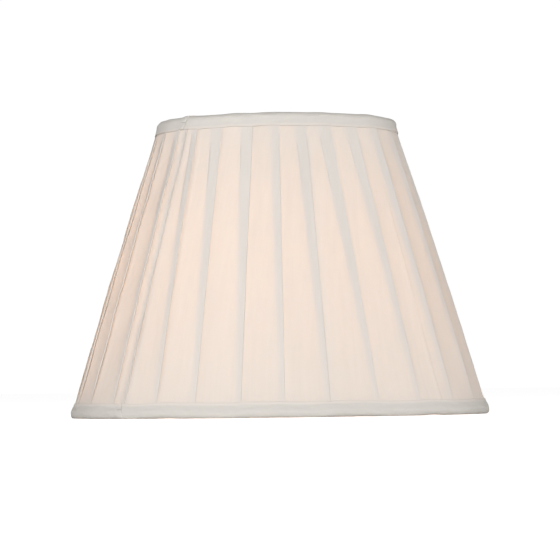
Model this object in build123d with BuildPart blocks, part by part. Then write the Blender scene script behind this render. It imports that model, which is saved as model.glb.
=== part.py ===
"""Knife-pleated empire lamp shade on a six-strut wire frame, with a swivelling gimbal fitter.

Millimetres. The origin is on the table, at the centre of the bottom rim. +Z is up, -Y is the front,
and the gimbal swivels about a line along X.
"""

import os
from math import atan2, cos, hypot, radians, sin

from build123d import *

# The shade over its trims
height = 286.0
base_radius = 203.2
top_radius = 116.2

# Wire frame
ring_wire_radius = 1.6
strut_wire_radius = 1.25
strut_count = 6
first_strut_angle = -135.8

# Cloth, from the wire outwards
tape_thickness = 0.4
cover_thickness = 1.0
cover_bow = 1.5
lining_thickness = 0.5
tape_gap_width = 3.0
tape_gap_start = 0.3
trim_thickness = 0.7
lining_gap = 0.05
glue_gap = 0.35
top_trim_depth = 12.5
bottom_trim_depth = 12.5
trim_turn_in = 9.0
foot_flat = 0.2

# Gimbal: two wire arms, a pressed carrier that turns between them, and a loose reducer
pivot_drop = 70.0
arm_wire_radius = 1.6
arm_set_back = 0.2
arm_reach = 52.0
arm_rise = 9.0
arm_bend_radius = 4.0
arm_slit_width = 4.4
arm_slit_depth = 12.0
slit_margin = 0.6
eye_radius = 4.5
eye_thickness = 1.6
eye_lap = 1.1
rivet_radius = 1.5
rivet_head_radius = 3.0
rivet_head_thickness = 1.0
running_clearance = 0.05
side_clearance = 0.3
carrier_bore_radius = 21.0
carrier_radius = 26.0
carrier_thickness = 1.2
carrier_drop = 9.0
ear_face = 28.8
reducer_bore_radius = 14.5
reducer_flange_radius = 24.5
reducer_flange_thickness = 2.0
reducer_spigot_depth = 3.2
spigot_clearance = 0.25
seat_gap = 0.02
reducer_rounding = 0.5

# Half section of the rims. A trim wraps the rim as a U, from the glued cover to the lining.
bound_radius = ring_wire_radius + tape_thickness
cover_inside = bound_radius + lining_gap
lining_inside = -(bound_radius + lining_gap + lining_thickness)
trim_outer_face = cover_inside + cover_thickness + glue_gap
trim_inner_face = lining_inside - lining_gap
trim_middle = (trim_outer_face + trim_inner_face) / 2
trim_inner_radius = (trim_outer_face - trim_inner_face) / 2
trim_outer_radius = trim_inner_radius + trim_thickness

# The line down the middle of each trim's U, and the wires' line beside it
bottom_trim_centre = (base_radius - trim_outer_radius, trim_outer_radius - foot_flat)
top_trim_centre = (top_radius - trim_outer_radius, height - trim_outer_radius)
wall_run = bottom_trim_centre[0] - top_trim_centre[0]
wall_rise = top_trim_centre[1] - bottom_trim_centre[1]
wall_length = hypot(wall_run, wall_rise)
lean = atan2(wall_run, wall_rise)


def on_wall(along, out):
    """A point of the half section, up the wall from the bottom wire and out from the wires' line."""
    beside = out - trim_middle
    return (
        bottom_trim_centre[0] - along * sin(lean) + beside * cos(lean),
        bottom_trim_centre[1] + along * cos(lean) + beside * sin(lean),
    )


def trim_outline(ring, inward, depth):
    """The U of a trim around the ring at that place on the wall, with its legs pointing inward."""
    outer_leg = ring + inward * depth
    inner_leg = ring + inward * trim_turn_in
    Polyline(
        on_wall(ring, trim_outer_face),
        on_wall(outer_leg, trim_outer_face),
        on_wall(outer_leg, trim_outer_face + trim_thickness),
        on_wall(ring, trim_outer_face + trim_thickness),
    )
    ThreePointArc(
        on_wall(ring, trim_outer_face + trim_thickness),
        on_wall(ring - inward * trim_outer_radius, trim_middle),
        on_wall(ring, trim_inner_face - trim_thickness),
    )
    Polyline(
        on_wall(ring, trim_inner_face - trim_thickness),
        on_wall(inner_leg, trim_inner_face - trim_thickness),
        on_wall(inner_leg, trim_inner_face),
        on_wall(ring, trim_inner_face),
    )
    ThreePointArc(
        on_wall(ring, trim_inner_face),
        on_wall(ring - inward * trim_inner_radius, trim_middle),
        on_wall(ring, trim_outer_face),
    )


bottom_ring_centre = on_wall(0, 0)
top_ring_centre = on_wall(wall_length, 0)
os.makedirs("parts", exist_ok=True)


# Bottom and top rings
with BuildPart() as bottom_ring:
    with BuildSketch(Plane.YZ):
        with Locations(bottom_ring_centre):
            Circle(ring_wire_radius)
    revolve(axis=Axis.Z)
bottom_ring.part.label = "bottom_ring"
export_step(bottom_ring.part, "parts/bottom_ring.step")

with BuildPart() as top_ring:
    with BuildSketch(Plane.YZ):
        with Locations(top_ring_centre):
            Circle(ring_wire_radius)
    revolve(axis=Axis.Z)
top_ring.part.label = "top_ring"
export_step(top_ring.part, "parts/top_ring.step")


# Struts, butt-welded between the rings, so each end is cut to the rings' round
strut_planes = []
for number in range(strut_count):
    bearing = radians(first_strut_angle + number * 360 / strut_count)
    strut_plane = Plane(
        origin=(
            bottom_ring_centre[0] * cos(bearing),
            bottom_ring_centre[0] * sin(bearing),
            bottom_ring_centre[1],
        ),
        x_dir=(-sin(bearing), cos(bearing), 0),
        z_dir=(-sin(lean) * cos(bearing), -sin(lean) * sin(bearing), cos(lean)),
    )
    with BuildPart() as strut:
        with BuildSketch(strut_plane):
            Circle(strut_wire_radius)
        extrude(amount=wall_length)
        add(bottom_ring.part, mode=Mode.SUBTRACT)
        add(top_ring.part, mode=Mode.SUBTRACT)
    strut.part.label = f"strut_{number + 1}"
    export_step(strut.part, f"parts/strut_{number + 1}.step")
    strut_planes.append(strut_plane)


# Gimbal arms: from the top ring in and down, then level, then down to an eye beside the carrier
pivot_height = height - pivot_drop
ear_inside = ear_face - carrier_thickness
eye_inside = ear_face + side_clearance
eye_outside = eye_inside + eye_thickness
arm_end = eye_inside + arm_set_back + arm_wire_radius
for name, side in (("left", -1), ("right", 1)):
    wire_points = [
        (side * top_ring_centre[0], top_ring_centre[1]),
        (side * (top_ring_centre[0] - arm_reach), pivot_height + arm_rise),
        (side * arm_end, pivot_height + arm_rise),
        (side * arm_end, pivot_height + eye_radius - eye_lap),
    ]
    with BuildPart() as gimbal_arm:
        with BuildLine(Plane.XZ) as arm_wire:
            FilletPolyline(*wire_points, radius=arm_bend_radius)
        with BuildSketch(Plane(origin=arm_wire.line @ 0, z_dir=arm_wire.line % 0)):
            Circle(arm_wire_radius)
        sweep(path=arm_wire.line)
        with BuildSketch(Plane.YZ.offset(side * eye_inside)):
            with Locations((0, pivot_height)):
                Circle(eye_radius)
        extrude(amount=side * eye_thickness)
        with BuildSketch(Plane.YZ.offset(side * eye_inside)):
            with Locations((0, pivot_height)):
                Circle(rivet_radius)
        extrude(amount=side * eye_thickness, mode=Mode.SUBTRACT)
        add(top_ring.part, mode=Mode.SUBTRACT)
    gimbal_arm.part.label = f"gimbal_arm_{name}"
    export_step(gimbal_arm.part, f"parts/gimbal_arm_{name}.step")


# Pivot rivets: riveted tight in the eyes, free in the carrier's ears
head_inside = ear_inside - side_clearance
for name, side in (("left", -1), ("right", 1)):
    with BuildPart() as pivot_rivet:
        with BuildSketch(Plane.XZ):
            with BuildLine():
                Polyline(
                    (side * (head_inside - rivet_head_thickness), pivot_height),
                    (side * (head_inside - rivet_head_thickness), pivot_height + rivet_head_radius),
                    (side * head_inside, pivot_height + rivet_head_radius),
                    (side * head_inside, pivot_height + rivet_radius),
                    (side * eye_outside, pivot_height + rivet_radius),
                    (side * eye_outside, pivot_height + rivet_head_radius),
                    (side * (eye_outside + rivet_head_thickness), pivot_height + rivet_head_radius),
                    (side * (eye_outside + rivet_head_thickness), pivot_height),
                    close=True,
                )
            make_face()
        revolve(axis=Axis((0, 0, pivot_height), (1, 0, 0)))
    pivot_rivet.part.label = f"pivot_rivet_{name}"
    export_step(pivot_rivet.part, f"parts/pivot_rivet_{name}.step")


# Gimbal ring: a pressed carrier with a hole for a wide lampholder and two upright ears
carrier_top = pivot_height - carrier_drop
carrier_bottom = carrier_top - carrier_thickness
with BuildPart() as gimbal_ring:
    with BuildSketch(Plane.XY.offset(carrier_bottom)):
        Circle(carrier_radius)
        Rectangle(2 * ear_face, 2 * eye_radius)
        Circle(carrier_bore_radius, mode=Mode.SUBTRACT)
    extrude(amount=carrier_thickness)
    for side in (-1, 1):
        with BuildSketch(Plane.YZ.offset(side * ear_inside)):
            with Locations((0, (carrier_bottom + pivot_height) / 2)):
                Rectangle(2 * eye_radius, pivot_height - carrier_bottom)
            with Locations((0, pivot_height)):
                Circle(eye_radius)
        extrude(amount=side * carrier_thickness)
        with BuildSketch(Plane.YZ.offset(side * ear_inside)):
            with Locations((0, pivot_height)):
                Circle(rivet_radius + running_clearance)
        extrude(amount=side * carrier_thickness, mode=Mode.SUBTRACT)
gimbal_ring.part.label = "gimbal_ring"
export_step(gimbal_ring.part, "parts/gimbal_ring.step")


# Reducer ring: its flange rests on the carrier and its spigot hangs in the carrier's hole
flange_bottom = carrier_top + seat_gap
flange_top = flange_bottom + reducer_flange_thickness
spigot_bottom = flange_bottom - reducer_spigot_depth
spigot_radius = carrier_bore_radius - spigot_clearance
with BuildPart() as reducer_ring:
    with BuildSketch(Plane.XZ):
        with BuildLine():
            Polyline(
                (reducer_bore_radius, spigot_bottom),
                (spigot_radius, spigot_bottom),
                (spigot_radius, flange_bottom),
                (reducer_flange_radius, flange_bottom),
                (reducer_flange_radius, flange_top),
                (reducer_bore_radius, flange_top),
                close=True,
            )
        make_face()
    revolve(axis=Axis.Z)
    rims = reducer_ring.edges().filter_by(GeomType.CIRCLE).group_by(SortBy.RADIUS)[-1]
    fillet(rims, radius=reducer_rounding)
reducer_ring.part.label = "reducer_ring"
export_step(reducer_ring.part, "parts/reducer_ring.step")


# The gaps that the binding tape leaves at each strut
with BuildPart() as strut_gaps:
    for strut_plane in strut_planes:
        with BuildSketch(strut_plane.offset(tape_gap_start)):
            Rectangle(tape_gap_width, 2 * tape_gap_width)
        extrude(amount=wall_length - 2 * tape_gap_start)


# The slits in all the cloth on the top ring where the gimbal arms come through it
slit_top = top_ring_centre[1] + slit_margin
slit_outside = top_ring_centre[0] + slit_margin
with BuildPart() as arm_slits:
    for side in (-1, 1):
        with BuildSketch(Plane.XZ.offset(-arm_slit_width / 2)):
            with Locations((side * (slit_outside - arm_slit_depth / 2), slit_top - arm_slit_depth / 2)):
                Rectangle(arm_slit_depth, arm_slit_depth)
        extrude(amount=arm_slit_width)


# Binding tapes wound round the rings
with BuildPart() as bottom_ring_binding:
    with BuildSketch(Plane.YZ):
        with Locations(bottom_ring_centre):
            Circle(bound_radius)
            Circle(ring_wire_radius, mode=Mode.SUBTRACT)
    revolve(axis=Axis.Z)
    add(strut_gaps.part, mode=Mode.SUBTRACT)
bottom_ring_binding.part.label = "bottom_ring_binding"
export_step(bottom_ring_binding.part, "parts/bottom_ring_binding.step")

with BuildPart() as top_ring_binding:
    with BuildSketch(Plane.YZ):
        with Locations(top_ring_centre):
            Circle(bound_radius)
            Circle(ring_wire_radius, mode=Mode.SUBTRACT)
    revolve(axis=Axis.Z)
    add(strut_gaps.part, mode=Mode.SUBTRACT)
    add(arm_slits.part, mode=Mode.SUBTRACT)
top_ring_binding.part.label = "top_ring_binding"
export_step(top_ring_binding.part, "parts/top_ring_binding.step")


# Lining inside the struts
with BuildPart() as lining:
    with BuildSketch(Plane.XZ):
        with BuildLine():
            Polyline(
                on_wall(0, lining_inside),
                on_wall(wall_length, lining_inside),
                on_wall(wall_length, lining_inside + lining_thickness),
                on_wall(0, lining_inside + lining_thickness),
                close=True,
            )
        make_face()
    revolve(axis=Axis.Z)
    add(arm_slits.part, mode=Mode.SUBTRACT)
lining.part.label = "lining"
export_step(lining.part, "parts/lining.step")


# Pleated cover, as the plain shell that its folds fill. It bows out a little between the rings.
cover_outside = cover_inside + cover_thickness
half_way = wall_length / 2
with BuildPart() as pleated_cover:
    with BuildSketch(Plane.XZ):
        with BuildLine():
            ThreePointArc(
                on_wall(0, cover_outside),
                on_wall(half_way, cover_outside + cover_bow),
                on_wall(wall_length, cover_outside),
            )
            Line(on_wall(wall_length, cover_outside), on_wall(wall_length, cover_inside))
            ThreePointArc(
                on_wall(wall_length, cover_inside),
                on_wall(half_way, cover_inside + cover_bow),
                on_wall(0, cover_inside),
            )
            Line(on_wall(0, cover_inside), on_wall(0, cover_outside))
        make_face()
    revolve(axis=Axis.Z)
pleated_cover.part.label = "pleated_cover"
export_step(pleated_cover.part, "parts/pleated_cover.step")


# Trims folded over the rims. The bottom one is pressed flat where the shade stands on it.
with BuildPart() as bottom_trim:
    with BuildSketch(Plane.XZ):
        with BuildLine():
            trim_outline(0, 1, bottom_trim_depth)
        make_face()
    revolve(axis=Axis.Z)
    split(bisect_by=Plane.XY, keep=Keep.TOP)
bottom_trim.part.label = "bottom_trim"
export_step(bottom_trim.part, "parts/bottom_trim.step")

with BuildPart() as top_trim:
    with BuildSketch(Plane.XZ):
        with BuildLine():
            trim_outline(wall_length, -1, top_trim_depth)
        make_face()
    revolve(axis=Axis.Z)
    add(arm_slits.part, mode=Mode.SUBTRACT)
top_trim.part.label = "top_trim"
export_step(top_trim.part, "parts/top_trim.step")
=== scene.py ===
# %% [markdown]
# # A knife-pleated lamp shade
# The shade is a tapered wire frame with cloth sewn round it. The wires, the gimbal fitter and every
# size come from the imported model, so they are loaded first and stay where they are. This lesson adds
# the cloth: a pleated silk cover, a lining, the tapes bound round the rings and the two trims.

from math import atan2, cos, hypot, pi, radians, sin

import bpy
import numpy as np
from mathutils import Matrix, Vector


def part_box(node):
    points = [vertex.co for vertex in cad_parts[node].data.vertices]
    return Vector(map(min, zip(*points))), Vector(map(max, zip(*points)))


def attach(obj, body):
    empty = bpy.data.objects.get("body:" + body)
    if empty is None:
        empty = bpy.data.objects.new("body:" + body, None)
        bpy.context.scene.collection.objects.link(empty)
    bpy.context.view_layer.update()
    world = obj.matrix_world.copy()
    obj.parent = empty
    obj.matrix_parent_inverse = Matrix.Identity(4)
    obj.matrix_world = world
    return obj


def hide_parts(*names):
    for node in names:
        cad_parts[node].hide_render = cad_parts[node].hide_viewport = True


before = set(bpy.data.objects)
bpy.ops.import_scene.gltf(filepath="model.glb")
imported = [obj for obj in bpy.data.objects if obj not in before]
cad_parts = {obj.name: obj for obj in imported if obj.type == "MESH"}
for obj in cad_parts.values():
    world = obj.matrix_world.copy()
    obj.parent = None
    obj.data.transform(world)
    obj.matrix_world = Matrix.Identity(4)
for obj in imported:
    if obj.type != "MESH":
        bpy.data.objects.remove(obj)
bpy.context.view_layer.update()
MM = 0.001

# %% [markdown]
# ## Reading the wall from the rings
# A shade's cloth runs straight from the bottom ring to the top ring, so two wires fix the whole wall.
# Their boxes give the wires' middles. Every later piece is placed by two numbers: how far up the wall
# it is, and how far out from the line between the wires. Working in these two numbers, and not in
# heights and radii, keeps each layer of cloth parallel to the next.

# %% Measure the wall
def ring_middle(node):
    """Radius and height of a ring wire's middle, and the wire's own radius."""
    low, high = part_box(node)
    wire = (high.z - low.z) / 2
    return high.x - wire, (high.z + low.z) / 2, wire


bottom_radius, bottom_height, ring_wire = ring_middle("bottom_ring")
top_radius, top_height, _ = ring_middle("top_ring")
wall_length = hypot(bottom_radius - top_radius, top_height - bottom_height)
lean = atan2(bottom_radius - top_radius, top_height - bottom_height)
print(f"wall {wall_length:.4f} m, leaning {lean:.3f} rad, rings {bottom_radius:.4f} and {top_radius:.4f} m")

# %% [markdown]
# ## Camera
# A catalogue picture of a shade is taken from far away with a long lens, which keeps its sides
# straight. The camera stands 3 m off, a little above the surface that the shade stands on, and looks
# up by 2 degrees. A touch of roll makes the right side stand a little higher than the left.

# %% Place the camera
CAMERA_AT = (0.0016, -3.028, 0.027)
LOOK_UP = radians(1.987)
ROLL = 0.0124
FOCAL_LENGTH = 200.0
SENSOR_WIDTH = 36.0

lens = bpy.data.cameras.new("camera")
lens.lens = FOCAL_LENGTH
lens.sensor_width = SENSOR_WIDTH
camera = bpy.data.objects.new("camera", lens)
turn = Matrix.Rotation(pi / 2 + LOOK_UP, 4, "X") @ Matrix.Rotation(-ROLL, 4, "Z")
camera.matrix_world = Matrix.Translation(CAMERA_AT) @ turn
bpy.context.collection.objects.link(camera)
bpy.context.scene.camera = camera
print("camera at", CAMERA_AT)

# %% [markdown]
# ## Stage and light
# Soft light from a large box beside the camera and a panel on each side rolls off gently round the
# shade. A warm bulb hangs inside, low in the shade. The floor is white and glows a little, as a
# light table does, so that the shade stands on clean white with hardly a shadow. The sky is white to
# the camera but gives almost no light, so the lights alone shape the cloth.

# %% Floor, world and lights
def soft_light(name, place, aim, size, power, colour=(1.0, 1.0, 1.0)):
    """A square area light at a place, turned to look at aim."""
    data = bpy.data.lights.new(name, "AREA")
    data.size = size
    data.energy = power
    data.color = colour
    lamp = bpy.data.objects.new(name, data)
    towards = Vector(aim) - Vector(place)
    facing = towards.to_track_quat("-Z", "Y").to_matrix().to_4x4()
    lamp.matrix_world = Matrix.Translation(place) @ facing
    bpy.context.collection.objects.link(lamp)


FLOOR_GLOW = 0.97
FLOOR_HEIGHT = -0.0004
SKY_SEEN = 1.02
SKY_ON_THINGS = 0.02
BULB_AT = (-0.014, 0.0, 0.117)
BULB_POWER = 0.86
BULB_COLOUR = (1.0, 0.45, 0.10)
BULB_RADIUS = 0.03
MIDDLE = (0.0, 0.0, 0.14)
soft_light("front_box", (-0.3, -2.65, 0.75), MIDDLE, 1.4, 71.5)
soft_light("left_panel", (-2.39, 0.21, 0.5), MIDDLE, 1.0, 20.0)
soft_light("right_panel", (2.39, 0.21, 0.5), MIDDLE, 1.0, 30.0)

bulb_data = bpy.data.lights.new("bulb", "POINT")
bulb_data.energy = BULB_POWER
bulb_data.color = BULB_COLOUR
bulb_data.shadow_soft_size = BULB_RADIUS
bulb = bpy.data.objects.new("bulb", bulb_data)
bulb.location = BULB_AT
bpy.context.collection.objects.link(bulb)

scene = bpy.context.scene
scene.view_settings.view_transform = "Standard"
world = bpy.data.worlds.new("studio")
scene.world = world
world.use_nodes = True
sky = world.node_tree
sky.nodes.clear()
seen = sky.nodes.new("ShaderNodeLightPath")
to_eye = sky.nodes.new("ShaderNodeBackground")
to_eye.inputs["Color"].default_value = (1, 1, 1, 1)
to_eye.inputs["Strength"].default_value = SKY_SEEN
to_things = sky.nodes.new("ShaderNodeBackground")
to_things.inputs["Color"].default_value = (1, 1, 1, 1)
to_things.inputs["Strength"].default_value = SKY_ON_THINGS
either = sky.nodes.new("ShaderNodeMixShader")
sky_out = sky.nodes.new("ShaderNodeOutputWorld")
sky.links.new(seen.outputs["Is Camera Ray"], either.inputs[0])
sky.links.new(to_things.outputs[0], either.inputs[1])
sky.links.new(to_eye.outputs[0], either.inputs[2])
sky.links.new(either.outputs[0], sky_out.inputs[0])

bpy.ops.object.select_all(action="DESELECT")
bpy.ops.mesh.primitive_plane_add(size=60, location=(0, 0, FLOOR_HEIGHT))
floor = bpy.context.object
floor.name = "floor"

# %% [markdown]
# ## Materials
# Shader maths is easier to read as Python than as boxes and wires. The class below wraps one socket,
# and plus, minus and times on it add the Math nodes. Its add method puts in any other node: the
# settings go in first, then the values or wires of its sockets.

# %% Wires for shader maths
class Wire:
    def __init__(self, tree, socket=None):
        self.tree = tree
        self.socket = socket

    def add(self, kind, settings=None, inputs=None, output=0):
        node = self.tree.nodes.new(kind)
        for name, value in (settings or {}).items():
            setattr(node, name, value)
        for key, value in (inputs or {}).items():
            if isinstance(value, Wire):
                self.tree.links.new(value.socket, node.inputs[key])
            else:
                node.inputs[key].default_value = value
        return Wire(self.tree, node.outputs[output] if len(node.outputs) else None)

    def math(self, operation, a, b=0.0):
        return self.add("ShaderNodeMath", {"operation": operation}, {0: a, 1: b})

    def __add__(self, other):
        return self.math("ADD", self, other)

    def __mul__(self, other):
        return self.math("MULTIPLY", self, other)

    def __sub__(self, other):
        return self.math("SUBTRACT", self, other)

    def __rsub__(self, other):
        return self.math("SUBTRACT", other, self)

    __radd__ = __add__
    __rmul__ = __mul__


def new_material(name):
    material = bpy.data.materials.new(name)
    material.use_nodes = True
    material.node_tree.nodes.clear()
    return material, Wire(material.node_tree)


def show(wires, surface):
    wires.add("ShaderNodeOutputMaterial", {}, {"Surface": surface})


def blend_colours(wires, share, first, second):
    """Two colours mixed; each is three numbers or a wire."""
    first, second = (c if isinstance(c, Wire) else (*c, 1) for c in (first, second))
    return wires.add("ShaderNodeMix", {"data_type": "RGBA"}, {0: share, 6: first, 7: second}, 2)


def noise(wires, place, scale, detail=2.0):
    return wires.add("ShaderNodeTexNoise", {}, {"Vector": place, "Scale": scale, "Detail": detail})


def stretched(wires, place, scale):
    return wires.add("ShaderNodeMapping", {}, {"Vector": place, "Scale": scale})


def bump(wires, height, distance, strength=1.0):
    inputs = {"Height": height, "Distance": distance, "Strength": strength}
    return wires.add("ShaderNodeBump", {}, inputs)


# %% [markdown]
# ### Silk and the other cloths
# The cover is a fine silk: threads a third of a millimetre apart, now and then a thicker slub, a low
# sheen, and enough light through it to show the bulb. Real cloth lets light through by scattering, so
# each cloth mixes a Principled shader with a Translucent one. The weave reads the cloth's own UV map,
# which is in metres, so it follows every fold. The trims are the same silk cut on the bias, so
# their weave is turned by 45 degrees. A trim's last few millimetres lie on the cover alone, with no
# ring or turned-in cloth behind them, so more of the bulb's light shines through there; that glow is
# painted into their colour as a paler edge strip. Noise scales count the patches in a metre,

# %% Cloth material
THREAD = 0.34 * MM
WAVE_REPEAT = 0.314
THREAD_RELIEF = 0.06 * MM
# How wide the trim's painted glow edge is, and how soft its inner side
GLOW_EDGE_WIDTH = 3.6 * MM
GLOW_EDGE_BLUR = 1.2 * MM


def threads(wires, place, direction, thread):
    """Soft ridges one thread apart, running across a direction."""
    settings = {"wave_type": "BANDS", "bands_direction": direction, "wave_profile": "SIN"}
    inputs = {"Vector": place, "Scale": WAVE_REPEAT / thread, "Distortion": 0.6, "Detail Scale": 0.2}
    return wires.add("ShaderNodeTexWave", settings, inputs, 1)


def cloth(
    name, light, dark, through, through_colour, bias=0.0, thread=THREAD, rough=0.62, edge=None, sheen=0.25
):
    """A woven cloth on the UV map that its piece carries, letting that share of light through."""
    material, wires = new_material(name)
    flat = wires.add("ShaderNodeUVMap", {"uv_map": "cloth"})
    turned = wires.add("ShaderNodeMapping", {}, {"Vector": flat, "Rotation": (0, 0, bias)})
    warp = threads(wires, turned, "X", thread)
    weft = threads(wires, turned, "Y", thread)
    slubs = noise(wires, stretched(wires, turned, (1.0, 0.03, 1.0)), 900.0)
    streaks = noise(wires, stretched(wires, turned, (1.0, 0.05, 1.0)), 260.0, 3.0)
    shade = noise(wires, stretched(wires, turned, (1.0, 0.35, 1.0)), 30.0)
    colour = blend_colours(wires, slubs * 0.3 + streaks * 0.55 + shade * 0.3 - 0.1, light, dark)
    # Painted glow: the last millimetres of the trim get the paler edge colour, standing in for bulb light
    # shining through less cloth
    if edge:
        beyond = wires.add("ShaderNodeSeparateXYZ", {}, {0: flat}, 1) - GLOW_EDGE_WIDTH
        painted_glow_share = wires.math("MULTIPLY", beyond, -1 / GLOW_EDGE_BLUR) + 0.5
        colour = blend_colours(wires, painted_glow_share, colour, edge)
    height = warp * 0.4 + weft * 0.4 + slubs * 0.6
    solid = wires.add(
        "ShaderNodeBsdfPrincipled",
        {},
        {
            "Base Color": colour,
            "Roughness": rough - 0.1 * slubs,
            "Sheen Weight": sheen,
            "Sheen Roughness": 0.4,
            "Specular IOR Level": 0.35,
            "Normal": bump(wires, height, THREAD_RELIEF),
        },
    )
    glow = wires.add("ShaderNodeBsdfTranslucent", {}, {"Color": (*through_colour, 1)})
    show(wires, wires.add("ShaderNodeMixShader", {}, {0: through, 1: solid, 2: glow}))
    return material


cover_silk = cloth("cover_silk", (0.84, 0.795, 0.75), (0.74, 0.705, 0.66), 0.22, (0.97, 0.93, 0.88))
# The trim's paler edge colour is painted glow from the bulb, not a different dye
trim_silk = cloth(
    "trim_silk", (0.735, 0.705, 0.66), (0.65, 0.62, 0.575), 0.14, (0.95, 0.92, 0.86),
    bias=pi / 4, edge=(0.76, 0.71, 0.66), sheen=0.06,
)
lining_silk = cloth("lining_silk", (0.86, 0.85, 0.82), (0.82, 0.81, 0.78), 0.45, (0.98, 0.96, 0.92))
binding_cotton = cloth(
    "binding_cotton", (0.82, 0.80, 0.75), (0.74, 0.72, 0.66), 0.10, (0.9, 0.88, 0.8),
    thread=0.6 * MM, rough=0.8,
)
print("cloths", [m.name for m in (cover_silk, trim_silk, lining_silk, binding_cotton)])

# %% [markdown]
# ### Paint, plated steel and plastic
# The frame is dipped in white enamel, which flows, so it has a long soft ripple and no grain. The
# carrier and its rivets are zinc plated: cloudy patches of different dullness. The reducer is white
# nylon with the faint pebble of its mould. None of these has a direction, so they all read Object
# coordinates.

# %% Hard materials
def hard(name, light, dark, rough, ripple_scale, ripple_depth, metal=0.0, coat=0.0):
    """Paint, metal or plastic whose colour, dullness and ripple vary in soft patches."""
    material, wires = new_material(name)
    place = wires.add("ShaderNodeTexCoord", {}, {}, 3)
    patches = noise(wires, place, 60.0, 3.0)
    ripple = noise(wires, place, ripple_scale)
    inputs = {
        "Base Color": blend_colours(wires, patches, light, dark),
        "Roughness": rough + 0.18 * patches,
        "Metallic": metal,
        "Coat Weight": coat,
        "Normal": bump(wires, ripple, ripple_depth),
    }
    show(wires, wires.add("ShaderNodeBsdfPrincipled", {}, inputs))
    return material


white_enamel = hard(
    "white_enamel", (0.80, 0.80, 0.78), (0.74, 0.74, 0.72), 0.25, 350.0, 0.00004, coat=0.4
)
zinc_plate = hard(
    "zinc_plate", (0.62, 0.62, 0.61), (0.44, 0.45, 0.46), 0.25, 2500.0, 0.00001, metal=1.0
)
white_nylon = hard("white_nylon", (0.82, 0.82, 0.80), (0.78, 0.78, 0.76), 0.38, 4000.0, 0.00001)

floor_material, wires = new_material("floor_white")
place = wires.add("ShaderNodeTexCoord", {}, {}, 3)
faint = noise(wires, place, 3.0)
paint = wires.add(
    "ShaderNodeBsdfPrincipled",
    {},
    {"Base Color": blend_colours(wires, faint, (0.60, 0.60, 0.60), (0.58, 0.58, 0.58)), "Roughness": 0.9},
)
lit = wires.add("ShaderNodeEmission", {}, {"Color": (1, 1, 1, 1), "Strength": FLOOR_GLOW})
both = wires.add("ShaderNodeAddShader", {}, {0: paint, 1: lit})
to_lens = wires.add("ShaderNodeLightPath", {}, {}, 0)
show(wires, wires.add("ShaderNodeMixShader", {}, {0: to_lens, 1: paint, 2: both}))
floor.data.materials.append(floor_material)


def dress(node, material):
    """Gives a CAD node's own mesh its material."""
    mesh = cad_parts[node].data
    mesh.materials.clear()
    mesh.materials.append(material)


enamelled = ["bottom_ring", "top_ring", "gimbal_arm_left", "gimbal_arm_right"]
enamelled += [f"strut_{number}" for number in range(1, 7)]
for node in enamelled:
    dress(node, white_enamel)
for node in ("gimbal_ring", "pivot_rivet_left", "pivot_rivet_right"):
    dress(node, zinc_plate)
dress("reducer_ring", white_nylon)
print("enamelled", enamelled)

# %% [markdown]
# ## One helper for every round of cloth
# All this cloth goes round the frame, so each piece is a grid: rows run round or up the shade, and each
# point is a bearing, a distance up the wall and a distance out. The helper turns such a grid into a
# mesh with a UV map in metres. It is mesh code and not bpy.ops, because a sheet's folds are formulas.
# The shade stands on its bottom trim, so the helper lets no cloth go below the floor.

# %% Grid to cloth
CLOTH_FRONT = -pi / 2


def cloth_mesh(name, bearing, along, out, flat_x, flat_y, material, closed=False, flip=False):
    """A sheet from grids of bearing, up-wall and outward distance, with rows first and columns second."""
    radius = bottom_radius - along * sin(lean) + out * cos(lean)
    height = np.maximum(bottom_height + along * cos(lean) + out * sin(lean), 0.0)
    angle = bearing + CLOTH_FRONT
    points = np.stack([radius * np.cos(angle), radius * np.sin(angle), height], axis=-1)
    rows, columns = radius.shape
    last = columns if closed else columns - 1
    quads = []
    for row in range(rows - 1):
        for column in range(last):
            beside = (column + 1) % columns
            quad = [row * columns + column, row * columns + beside]
            quad += [(row + 1) * columns + beside, (row + 1) * columns + column]
            quads.append(quad[::-1] if flip else quad)
    mesh = bpy.data.meshes.new(name)
    mesh.from_pydata(points.reshape(-1, 3).tolist(), [], quads)
    chart = mesh.uv_layers.new(name="cloth")
    corner = np.zeros(len(mesh.loops), dtype=np.int32)
    mesh.loops.foreach_get("vertex_index", corner)
    u = flat_x.reshape(-1)[corner]
    v = flat_y.reshape(-1)[corner]
    if closed:
        seam = np.repeat(np.arange(len(quads)) % columns == columns - 1, 4) & (corner % columns == 0)
        u[seam] += flat_x[:, 1][corner[seam] // columns] * columns
    chart.uv.foreach_set("vector", np.stack([u, v], axis=-1).astype(np.float32).reshape(-1))
    mesh.polygons.foreach_set("use_smooth", [True] * len(mesh.polygons))
    mesh.materials.append(material)
    piece = bpy.data.objects.new(name, mesh)
    bpy.context.collection.objects.link(piece)
    print(f"{name}: {len(mesh.polygons)} faces")
    return piece


# %% [markdown]
# ## Pleated cover
# The cover is one strip of silk, folded into knife pleats that all lie the same way round. Each pleat
# has an outer fold that shows and an inner fold that hides under it: three layers lie between the two,
# and one layer elsewhere. The overlap is wide at the small top ring and narrow at the bottom, because
# the same strip goes round both. The folds are laid by hand, so each has its own places at the bottom
# and at the top, and its own overlap. The strip starts and ends under the narrow pleat at the join.

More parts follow.
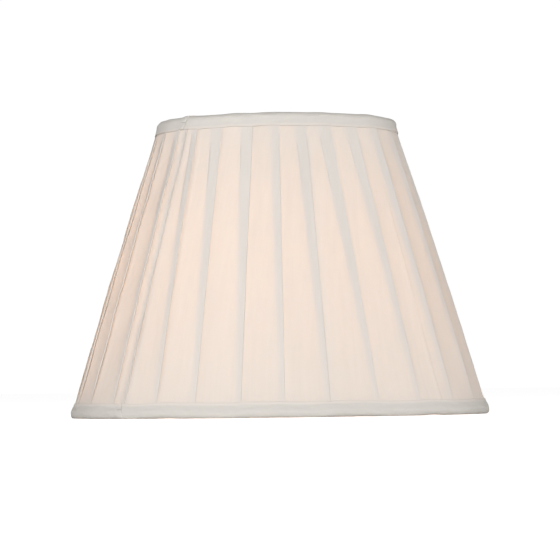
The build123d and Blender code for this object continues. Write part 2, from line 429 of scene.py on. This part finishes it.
# %% Where the outer folds lie
# Degrees from the front at the bottom and at the top, the share of the usual overlap at the top, and
# how hollow the panel before the fold hangs.
SEEN_FOLDS = (
    (-34.8, -39.2, 0.55, 1.00),
    (-22.8, -25.6, 0.95, 0.80),
    (-10.2, -10.8, 0.92, 0.95),
    (1.4, 1.2, 0.58, 0.85),
    (13.5, 13.6, 0.82, 0.95),
    (27.3, 25.4, 1.00, 0.70),
    (40.9, 39.4, 0.98, 0.95),
    (54.6, 53.6, 0.85, 1.15),
    (67.9, 68.9, 0.70, 1.35),
    (80.8, 80.6, 0.70, 1.20),
)
LEFT_FOLDS = (
    (-76.2, -76.0, 0.70, 1.80),
    (-64.0, -63.6, 0.66, 2.00),
    (-51.4, -51.0, 0.62, 1.80),
    (-46.6, -45.6, 0.34, 1.30),
)
BACK_FOLDS = 15
STRIP_LENGTH = 1.5

# How far outside the wires' line the outermost layer lies, how far it bows out half way up, how far
# apart a pleat's layers stand in the open wall and at the rings, and how deep a panel hangs
COVER_LINE = 3.05 * MM
COVER_BOW = 1.6 * MM
LAYER_GAP = 0.75 * MM
END_GAP = 0.34 * MM
PANEL_HOLLOW = 1.25 * MM
rng = np.random.default_rng(11)


def fill_folds(first, last, count):
    """Folds between two places, evenly spread but for a hand's unevenness."""
    middle = np.linspace(first, last, count + 2)[1:-1]
    wander = rng.uniform(-0.9, 0.9, count)
    shift = rng.uniform(-0.7, 0.7, count)
    wide = rng.uniform(0.55, 0.9, count)
    stand = rng.uniform(0.8, 1.5, count)
    return [(m + w, m + w + t, k, g) for m, w, t, k, g in zip(middle, wander, shift, wide, stand)]


last_folds = [(low + 360, high + 360, wide, stand) for low, high, wide, stand in LEFT_FOLDS]
folds = [*SEEN_FOLDS, *fill_folds(SEEN_FOLDS[-1][0], last_folds[0][0], BACK_FOLDS), *last_folds]
print(len(folds), "pleats")

# %% [markdown]
# Cloth is never quite flat. The next cell makes the soft unevenness that the cover and the trims share,
# as a sum of waves. It reads the place on the wall and not on the strip, so all the layers of a pleat
# move together and none comes through another.

# %% Soft unevenness
ROWS = 61
up = np.linspace(0, 1, ROWS)[:, None]
cover_radius = bottom_radius - up * wall_length * sin(lean)


def uneven(x, y, amount, across, along, seed, waves=26):
    """A smooth random field: waves of random length, slant and phase, with wavelengths in metres."""
    draw = np.random.default_rng(seed)
    total = 0 * (x + y)
    for _ in range(waves):
        across_rate = 2 * pi / draw.uniform(*across) * draw.choice((-1, 1))
        along_rate = 2 * pi / draw.uniform(*along)
        total = total + np.sin(x * across_rate + y * along_rate + draw.uniform(0, 2 * pi))
    return total * amount * (2 / waves) ** 0.5


# %% [markdown]
# A pleat is drawn as one path across the wall: under the fold before it, over the open panel and the
# band, round the outer fold, back beneath, and round the inner fold. The rings press the layers flat.

# %% One pleat
PRESSED_SHARE = 0.08
opened = (1 - np.exp(-(up / PRESSED_SHARE) ** 2)) * (1 - np.exp(-((1 - up) / PRESSED_SHARE) ** 2))


def ease(start, end, count):
    return np.linspace(start, end, count, endpoint=False)[None, :]


def fold_line(fold):
    """A fold's bearing at every height, in radians: straight below, drifting near the top."""
    return np.radians(fold[0] + (fold[1] - fold[0]) * up ** 1.5)


def layer_gap(fold):
    """How far apart the pleat's layers stand: pressed flat at the rings, open between them."""
    return END_GAP + (LAYER_GAP * (0.6 + 0.4 * fold[3]) - END_GAP) * opened


def pleat(before, fold):
    """One pleat from inner fold to inner fold: its bearings, and its depths under the cover's line."""
    gap_before, gap = layer_gap(before), layer_gap(fold)
    hollow = PANEL_HOLLOW * fold[3] * opened
    previous = fold_line(before)
    usual = (STRIP_LENGTH - 2 * pi * cover_radius) / (2 * len(folds))
    pitch = (fold_line(fold) - previous) * cover_radius
    overlap = np.minimum(usual * (1 + (fold[2] - 1) * up), 0.8 * pitch)
    overlap_before = usual * (1 + (before[2] - 1) * up)
    shown, half = pitch - overlap, gap / 2

    def sunk(x):
        """How deep the cloth lies: under the fold before it, then hollow, then up to its own fold."""
        share = np.clip(x / pitch, 0, 1)
        return 2 * gap_before * (1 - share) + hollow * 4 * share * (1 - share)

    share = ease(0, 1, 4)
    under_x, under_depth = (gap_before - overlap_before) * (1 - share), 2 * gap_before + 0 * share
    panel_x = shown * ease(0, 1, 24)
    band_x = shown + (overlap - half) * ease(0, 1, 7)
    edge = sunk(pitch - half)
    turn = ease(0, pi, 6)
    round_x, round_depth = pitch - half + half * np.sin(turn), edge + half * (1 - np.cos(turn))
    middle_x = pitch - half - (overlap - 1.5 * gap) * ease(0, 1, 5)
    inner = sunk(shown + gap)
    turn = ease(0, pi, 5)
    inner_x, inner_depth = shown + gap - half * np.sin(turn), inner + gap + half * (1 - np.cos(turn))
    x = np.concatenate([under_x, panel_x, band_x, round_x, middle_x, inner_x], axis=1)
    parts = [under_depth, sunk(panel_x), sunk(band_x), round_depth, sunk(middle_x) + gap, inner_depth]
    return previous + x / cover_radius, np.concatenate(parts, axis=1)


# %% [markdown]
# Every fold adds its pleat, and the paths join into one strip. Its chart is the length along the
# folded path, so the weave keeps its size in every layer.

# %% Fold the strip
before = LEFT_FOLDS[-1]
parts = []
for fold in folds:
    parts.append(pleat(before, fold))
    before = fold
bearing = np.concatenate([part[0] for part in parts], axis=1)
depth = np.concatenate([part[1] for part in parts], axis=1)
along = up * wall_length + 0 * depth
out = COVER_LINE + COVER_BOW * 4 * up * (1 - up) - depth
step = np.hypot(np.diff(bearing, axis=1) * cover_radius, np.diff(out, axis=1))
flat_x = np.concatenate([np.zeros((ROWS, 1)), np.cumsum(step, axis=1)], axis=1)
held = np.sin(pi * up) ** 0.5
round_wall = bearing * cover_radius
out = out + held * uneven(round_wall, along, 0.07 * MM, (0.009, 0.035), (0.12, 0.6), 5)
out = out + held * uneven(round_wall, along, 0.20 * MM, (0.05, 0.15), (0.10, 0.5), 6)

# %% [markdown]
# The iron leaves a few faint creases beside the folds. A crease is a small step: the cloth rises to it
# from the left, then drops.

# %% Press creases beside some folds
# Degrees from the front at the bottom and the top, the shares of the height where the crease starts
# and ends, and its step in millimetres
CREASE_REACH = 8 * MM
CREASES = (
    (-34.6, -36.4, 0.25, 1.0, 0.22),
    (-22.4, -24.4, 0.25, 1.0, 0.20),
    (27.6, 27.4, 0.35, 1.0, 0.20),
    (49.3, 47.6, -0.15, 0.78, 0.85),
    (-16.5, -15.6, 0.3, 1.0, 0.12),
    (8.2, 7.0, 0.2, 0.9, 0.12),
)
for low, high, start, end, sharp in CREASES:
    line = np.radians(low + (high - low) * up)
    beside = (bearing - line) * cover_radius / CREASE_REACH
    here = np.clip((up - start) / 0.15, 0, 1) * np.clip((end - up) / 0.12, 0, 1)
    rise = np.clip(1 + beside, 0, 1) ** 2 * np.clip(1 - beside * 5, 0, 1)
    out = out + sharp * MM * here * rise

cover = cloth_mesh("silk_cover", bearing, along, out, flat_x, along, cover_silk)
print("strip length at the bottom and top", flat_x[0, -1].round(3), flat_x[-1, -1].round(3))
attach(cover, "shade")
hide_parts("pleated_cover")

# %% [markdown]
# ## Lining
# The lining hangs inside the struts from ring to ring. It is plain, pale and a little see-through, so
# it hides the wires from below and spreads the bulb's light. It is cut as a part of a ring, like the
# paper of a cone, so it has no pleats, only soft pulls where it is stitched.

# %% Lining
LINING_LINE = -2.3 * MM
BOTTOM_PULLS = 48
TOP_PULLS = 42
FADE = 9
CHART_RADIUS = 0.2
CHART_TAPER = 0.085
around = np.linspace(0, 2 * pi, 240, endpoint=False)[None, :]
up = np.linspace(0, 1, 33)[:, None]
pull_low = 0.35 * MM * np.sin(BOTTOM_PULLS * around) * np.exp(-up * FADE)
pull_high = 0.5 * MM * np.sin(TOP_PULLS * around) * np.exp((up - 1) * FADE)
along = up * wall_length + 0 * around
out = LINING_LINE + (pull_low + pull_high) * np.sin(pi * up) ** 0.3
lining = cloth_mesh(
    "silk_lining", around + 0 * up, along, out,
    around * (CHART_RADIUS - CHART_TAPER * up), along, lining_silk, closed=True, flip=True,
)
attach(lining, "shade")
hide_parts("lining")

# %% [markdown]
# ## Tapes bound round the rings
# Cloth can't be sewn to bare wire, so cotton tape is first wound round each ring. Each turn laps half
# over the one before. The section is a circle whose radius climbs a little along each turn and drops
# back at its edge, which is the whole look of a wound tape.

# %% Binding tapes
TAPE_TURN = 8 * MM
TAPE_THINNEST = 0.16
TAPE_CLIMB = 0.2
STEPS_IN_TURN = 8


def bound_ring(name, ring_radius, ring_along, node):
    """Tape wound round a ring, from the ring's radius and its place up the wall."""
    turns = int(round(2 * pi * ring_radius / TAPE_TURN))
    steps = turns * STEPS_IN_TURN
    around = np.linspace(0, 2 * pi, steps, endpoint=False)[None, :]
    about = np.linspace(0, 2 * pi, 13)[:, None]
    climb = (turns * around / (2 * pi) + about / (2 * pi)) % 1.0
    size = ring_wire + (TAPE_THINNEST + TAPE_CLIMB * climb) * MM
    along = ring_along + size * np.cos(about)
    out = size * np.sin(about) + 0 * around
    tape = cloth_mesh(
        name, around + 0 * about, along, out,
        around * ring_radius + 0 * about, about * ring_wire + 0 * around,
        binding_cotton, closed=True, flip=True,
    )
    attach(tape, "shade")
    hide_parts(node)


bound_ring("bottom_tape", bottom_radius, 0.0, "bottom_ring_binding")
bound_ring("top_tape", top_radius, wall_length, "top_ring_binding")

# %% [markdown]
# ## Trims
# A band of the same silk, cut on the bias so that it bends round the ring without a crease, hides all
# the raw edges. Its long edges are turned under, and it is drawn over the ring in a soft roll that
# stands out furthest beside the wire. The band starts and ends over the strut where the cover starts.
# There its end is turned under and lapped over its start, at a slant.

# %% Trims
JOIN = radians(-46.0)
BAND_STEP = 1.4 * MM
DEEPEST_DIP = -0.12 * MM
SLANT = 0.35
LAP_RISE = 0.9 * MM
LAP_LENGTH = 9 * MM

# The end that is turned under, as millimetres past the join and shares of the lap's rise
TUCK = ((0.25, 0.85), (0.35, 0.6), (0.25, 0.35), (-1.0, 0.3), (-2.5, 0.3))

# Over the ring the section is half an oval: its middle and half its width, both outward, and how far
# it reaches past the ring's middle. Over the cover its face stands a little proud.
ROLL_MIDDLE = 0.4 * MM
ROLL_HALF = 3.95 * MM
ROLL_REACH = 3.7 * MM
FACE_LINE = COVER_LINE + 0.5 * MM


def trim_section(depth, roll, turn_in):
    """How far from the ring and how far out the band lies, from its outer edge to its inner edge."""
    centre = roll - ROLL_REACH
    down = np.linspace(0, 1, 12)
    swell = ROLL_MIDDLE + ROLL_HALF - FACE_LINE
    turn = np.linspace(0, pi, 19)[1:]
    inner = np.linspace(centre, turn_in, 6)[1:]
    span = np.concatenate([
        [depth - 0.9 * MM, depth - 0.3 * MM, depth, depth - 0.12 * MM],
        depth - 0.4 * MM - (depth - 0.4 * MM - centre) * down,
        centre - roll * np.sin(turn),
        inner,
    ])
    out = np.concatenate([
        [COVER_LINE + 0.05 * MM, COVER_LINE + 0.06 * MM, COVER_LINE + 0.2 * MM, FACE_LINE],
        FACE_LINE + 0.10 * MM * np.exp(-down * 9) + swell * np.clip((down - 0.3) / 0.7, 0, 1) ** 1.5,
        ROLL_MIDDLE + ROLL_HALF * np.cos(turn),
        ROLL_MIDDLE - ROLL_HALF + 0.25 * MM * np.linspace(0, 1, 5),
    ])
    return span, out


def trim_band(name, node, ring_along, inward, section, seed):
    """A band of silk round a rim, lapped over its own start at the join."""
    span, out = section
    ring = top_radius if inward < 0 else bottom_radius
    flat_y = np.concatenate([[0], np.cumsum(np.hypot(np.diff(span), np.diff(out)))])[:, None]
    lap = LAP_LENGTH / ring
    steps = int(2 * pi * ring / BAND_STEP)
    body = np.linspace(JOIN - lap, JOIN + 2 * pi, steps)
    tuck = JOIN + 2 * pi + np.array([past for past, _ in TUCK]) * MM / ring
    around = np.concatenate([body, tuck])[None, :]
    near_end = np.clip((body - (JOIN + 2 * pi - 1.3 * lap)) / (0.9 * lap), 0, 1)
    rise = LAP_RISE * near_end * near_end * (3 - 2 * near_end)
    lift = np.concatenate([rise, [share * LAP_RISE for _, share in TUCK]])
    beside = out - ROLL_MIDDLE
    away = np.where(beside > 0, 1.0, -1.0)[:, None] * np.minimum(1, abs(beside) / (2 * MM))[:, None]
    drop = np.where(abs(beside) < 3.6 * MM, -1.0, 0.0)[:, None]
    slant = SLANT * (flat_y - flat_y[-1] / 2) / ring * np.clip((around - JOIN - pi) / pi, 0, 1) ** 8
    place = around * ring
    soft = uneven(place, flat_y, 0.13 * MM, (0.012, 0.06), (0.005, 0.018), seed, waves=40)
    soft = soft + uneven(place, 0 * flat_y, 0.20 * MM, (0.05, 0.25), (0.5, 1.0), seed + 1)
    calm = np.clip((flat_y - 2 * MM) / (4 * MM), 0.25, 1)
    out = out[:, None] + away * (lift + np.maximum(soft * calm, DEEPEST_DIP))
    wavy = uneven(place, 0 * flat_y, 0.26 * MM, (0.025, 0.12), (0.5, 1), seed + 2)
    span = span[:, None] + drop * lift + wavy
    along = ring_along + inward * span
    band = cloth_mesh(
        name, around + slant, along, out, place + 0 * span, flat_y + 0 * place, trim_silk, flip=inward > 0
    )
    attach(band, "shade")
    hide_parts(node)


trim_band("bottom_trim_band", "bottom_trim", 0.0, 1, trim_section(10.6 * MM, 6.4 * MM, 9.0 * MM), 21)
trim_band("top_trim_band", "top_trim", wall_length, -1, trim_section(10.8 * MM, 5.4 * MM, 7.6 * MM), 31)
